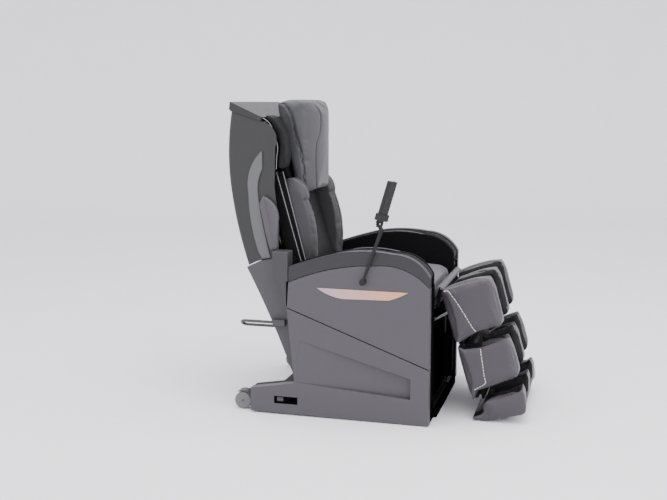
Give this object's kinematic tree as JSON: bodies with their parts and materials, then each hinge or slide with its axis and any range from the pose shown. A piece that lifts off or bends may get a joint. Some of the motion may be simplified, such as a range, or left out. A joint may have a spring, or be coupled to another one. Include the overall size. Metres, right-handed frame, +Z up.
{
  "type": "massage chair",
  "caption": "Reclining massage chair with a padded arm each side, a moving roller carriage in the back, a rising leg rest and a remote control on a stand.",
  "frame": {"origin": "on the floor, in the middle plane, under the base plate", "axes": "+X the way the sitter faces, +Y the sitter's left, +Z up"},
  "size_m": [1.1851, 0.7979, 1.234],
  "materials": {
    "grey_plastic": "fine textured moulding",
    "shell_plastic": "fine textured moulding",
    "cap_plastic": "fine textured moulding",
    "trim_plastic": "satin moulding",
    "inset_satin": "satin pinkish beige",
    "dark_plastic": "satin black moulding",
    "leather_grey": "soft grained synthetic leather",
    "leather_dark": "soft grained synthetic leather",
    "black_steel": "black powder coat",
    "bright_steel": "ground steel",
    "grip_steel": "black gloss coat",
    "tyre_rubber": "grey rubber",
    "roller_plastic": "smooth nylon",
    "key_rubber": "soft keys",
    "screen_glass": "dark display window"
  },
  "bodies": {
    "base": {"side_covers_lower": "grey_plastic", "side_covers_upper": "grey_plastic", "side_insets": "inset_satin", "arm_bands": "grey_plastic", "arm_pads": "leather_dark", "arm_panels": "leather_dark", "shoulder_posts": "grey_plastic", "front_covers": "dark_plastic", "base_plate": "black_steel", "base_frame": "black_steel", "seat_board": "black_steel", "front_trim": "dark_plastic", "recline_pins": "bright_steel", "air_pump": "dark_plastic", "control_box": "dark_plastic", "wheel_brackets": "grey_plastic", "lifting_grips": "grip_steel", "power_panel": "dark_plastic", "rear_cover_lower": "shell_plastic", "seat_cushion": "leather_grey", "seat_rear_pad": "leather_grey", "stand_socket": "dark_plastic", "leg_hinge_pins": "bright_steel"},
    "wheel_right": {"transport_wheel_right": "tyre_rubber"},
    "wheel_left": {"transport_wheel_left": "tyre_rubber"},
    "switch": {"power_switch": "key_rubber"},
    "back": {"back_shell": "shell_plastic", "back_cap": "cap_plastic", "back_fins": "trim_plastic", "back_fairings": "trim_plastic", "back_frame": "black_steel", "back_cushion": "leather_dark", "side_bolsters": "leather_grey", "shoulder_flaps": "leather_dark", "guide_rods": "bright_steel", "lift_motor": "black_steel"},
    "screw": {"lift_screw": "bright_steel"},
    "carriage": {"massage_carriage": "dark_plastic"},
    "kneading": {"kneading_shaft": "bright_steel"},
    "roller_rocker": {"roller_arms": "black_steel"},
    "rollers_up": {"upper_rollers": "roller_plastic"},
    "rollers_down": {"lower_rollers": "roller_plastic"},
    "pillow": {"head_pillow": "leather_grey"},
    "leg_rest": {"leg_frame": "black_steel", "upper_calf_pad": "leather_grey", "lower_calf_pad": "leather_grey"},
    "foot_rest": {"foot_pad": "leather_grey", "foot_slider": "black_steel"},
    "recline_tube": {"recline_actuator": "black_steel"},
    "recline_piston": {"recline_rod": "bright_steel"},
    "lift_tube": {"lift_actuator": "black_steel"},
    "lift_piston": {"lift_rod": "bright_steel"},
    "stand": {"remote_pole": "dark_plastic"},
    "knob": {"clamp_knob": "dark_plastic"},
    "holder": {"remote_holder": "dark_plastic"},
    "remote": {"remote_body": "dark_plastic", "remote_screen": "screen_glass"},
    "power_key": {"power_button": "key_rubber"},
    "recline_key": {"recline_rocker": "key_rubber"},
    "leg_key": {"leg_rocker": "key_rubber"}
  },
  "joints": [
    {"name": "wheel_right_spin", "type": "hinge", "parent": "base", "child": "wheel_right", "pos_m": [-0.401, -0.331, 0.035], "axis": [0, 1, 0], "continuous": true},
    {"name": "wheel_left_spin", "type": "hinge", "parent": "base", "child": "wheel_left", "pos_m": [-0.401, 0.331, 0.035], "axis": [0, 1, 0], "continuous": true},
    {"name": "switch_rock", "type": "hinge", "parent": "base", "child": "switch", "pos_m": [-0.236, -0.36, 0.06], "axis": [0, 0, 1], "range_deg": [-6, 6]},
    {"name": "back_recline", "type": "hinge", "parent": "base", "child": "back", "pos_m": [-0.24, 0, 0.313], "axis": [0, -1, 0], "range_deg": [0, 33]},
    {"name": "carriage_lift", "type": "slide", "parent": "back", "child": "carriage", "axis": [-0.2672, 0, 0.9636], "range_m": [0, 0.29]},
    {"name": "screw_turn", "type": "hinge", "parent": "back", "child": "screw", "pos_m": [-0.34581, 0, 0.81702], "axis": [-0.2672, 0, 0.9636], "continuous": true},
    {"name": "kneading_turn", "type": "hinge", "parent": "carriage", "child": "kneading", "pos_m": [-0.28343, 0, 0.73054], "axis": [0, 1, 0], "continuous": true},
    {"name": "roller_rock", "type": "hinge", "parent": "carriage", "child": "roller_rocker", "pos_m": [-0.28343, 0, 0.73054], "axis": [0, 1, 0], "range_deg": [-6, 6]},
    {"name": "upper_roller_spin", "type": "hinge", "parent": "roller_rocker", "child": "rollers_up", "pos_m": [-0.30214, 0, 0.798], "axis": [0, 1, 0], "continuous": true},
    {"name": "lower_roller_spin", "type": "hinge", "parent": "roller_rocker", "child": "rollers_down", "pos_m": [-0.26472, 0, 0.66309], "axis": [0, 1, 0], "continuous": true},
    {"name": "pillow_flip", "type": "hinge", "parent": "back", "child": "pillow", "pos_m": [-0.322, 0, 1.18], "axis": [0, -1, 0], "range_deg": [0, 60]},
    {"name": "leg_raise", "type": "hinge", "parent": "base", "child": "leg_rest", "pos_m": [0.37, 0, 0.5], "axis": [0, -1, 0], "range_deg": [0, 70]},
    {"name": "foot_extend", "type": "slide", "parent": "leg_rest", "child": "foot_rest", "axis": [0.3074, 0, -0.9516], "range_m": [0, 0.1]},
    {"name": "recline_actuator_swing", "type": "hinge", "parent": "base", "child": "recline_tube", "pos_m": [0.11, -0.06, 0.143], "axis": [0, -1, 0], "range_deg": [-1.5, 1.5]},
    {"name": "recline_rod_slide", "type": "slide", "parent": "recline_tube", "child": "recline_piston", "axis": [-0.7071, 0, 0.7071], "range_m": [0, 0.077]},
    {"name": "lift_actuator_swing", "type": "hinge", "parent": "base", "child": "lift_tube", "pos_m": [0.1, 0.06, 0.2], "axis": [0, -1, 0], "range_deg": [-1.5, 6]},
    {"name": "lift_rod_slide", "type": "slide", "parent": "lift_tube", "child": "lift_piston", "axis": [0.8506, 0, 0.5259], "range_m": [0, 0.142]},
    {"name": "stand_tilt", "type": "hinge", "parent": "base", "child": "stand", "pos_m": [0.104, -0.39, 0.55], "axis": [0, 1, 0], "range_deg": [-35, 30]},
    {"name": "knob_turn", "type": "hinge", "parent": "stand", "child": "knob", "pos_m": [0.16524, -0.40586, 0.78499], "axis": [0.4797, 0.866, -0.1412], "range_deg": [0, 90]},
    {"name": "holder_tilt", "type": "hinge", "parent": "stand", "child": "holder", "pos_m": [0.17292, -0.392, 0.78273], "axis": [0.4797, 0.866, -0.1412], "range_deg": [-15, 15]},
    {"name": "remote_lift", "type": "slide", "parent": "holder", "child": "remote", "axis": [0.2823, 0, 0.9593], "range_m": [0, 0.05]},
    {"name": "power_press", "type": "slide", "parent": "remote", "child": "power_key", "axis": [0.8308, -0.5, -0.2445], "range_m": [0, 0.001], "stiffness_N_per_m": 400},
    {"name": "recline_key_rock", "type": "hinge", "parent": "remote", "child": "recline_key", "pos_m": [0.19404, -0.38925, 0.87138], "axis": [0.4797, 0.866, -0.1412], "range_deg": [-6, 6], "stiffness_Nm_per_rad": 0.1},
    {"name": "leg_key_rock", "type": "hinge", "parent": "remote", "child": "leg_key", "pos_m": [0.1867, -0.38925, 0.84643], "axis": [0.4797, 0.866, -0.1412], "range_deg": [-6, 6], "stiffness_Nm_per_rad": 0.1}
  ],
  "couplings": [
    {"joint": "screw_turn", "follows": "carriage_lift", "rad_per_m": 125.66},
    {"joint": "foot_extend", "follows": "leg_raise", "m_per_rad": 0.081769},
    {"joint": "recline_actuator_swing", "follows": "back_recline", "ratio": -0.029431},
    {"joint": "recline_rod_slide", "follows": "back_recline", "m_per_rad": 0.13218},
    {"joint": "lift_actuator_swing", "follows": "leg_raise", "ratio": 0.024944},
    {"joint": "lift_rod_slide", "follows": "leg_raise", "m_per_rad": 0.11516}
  ]
}
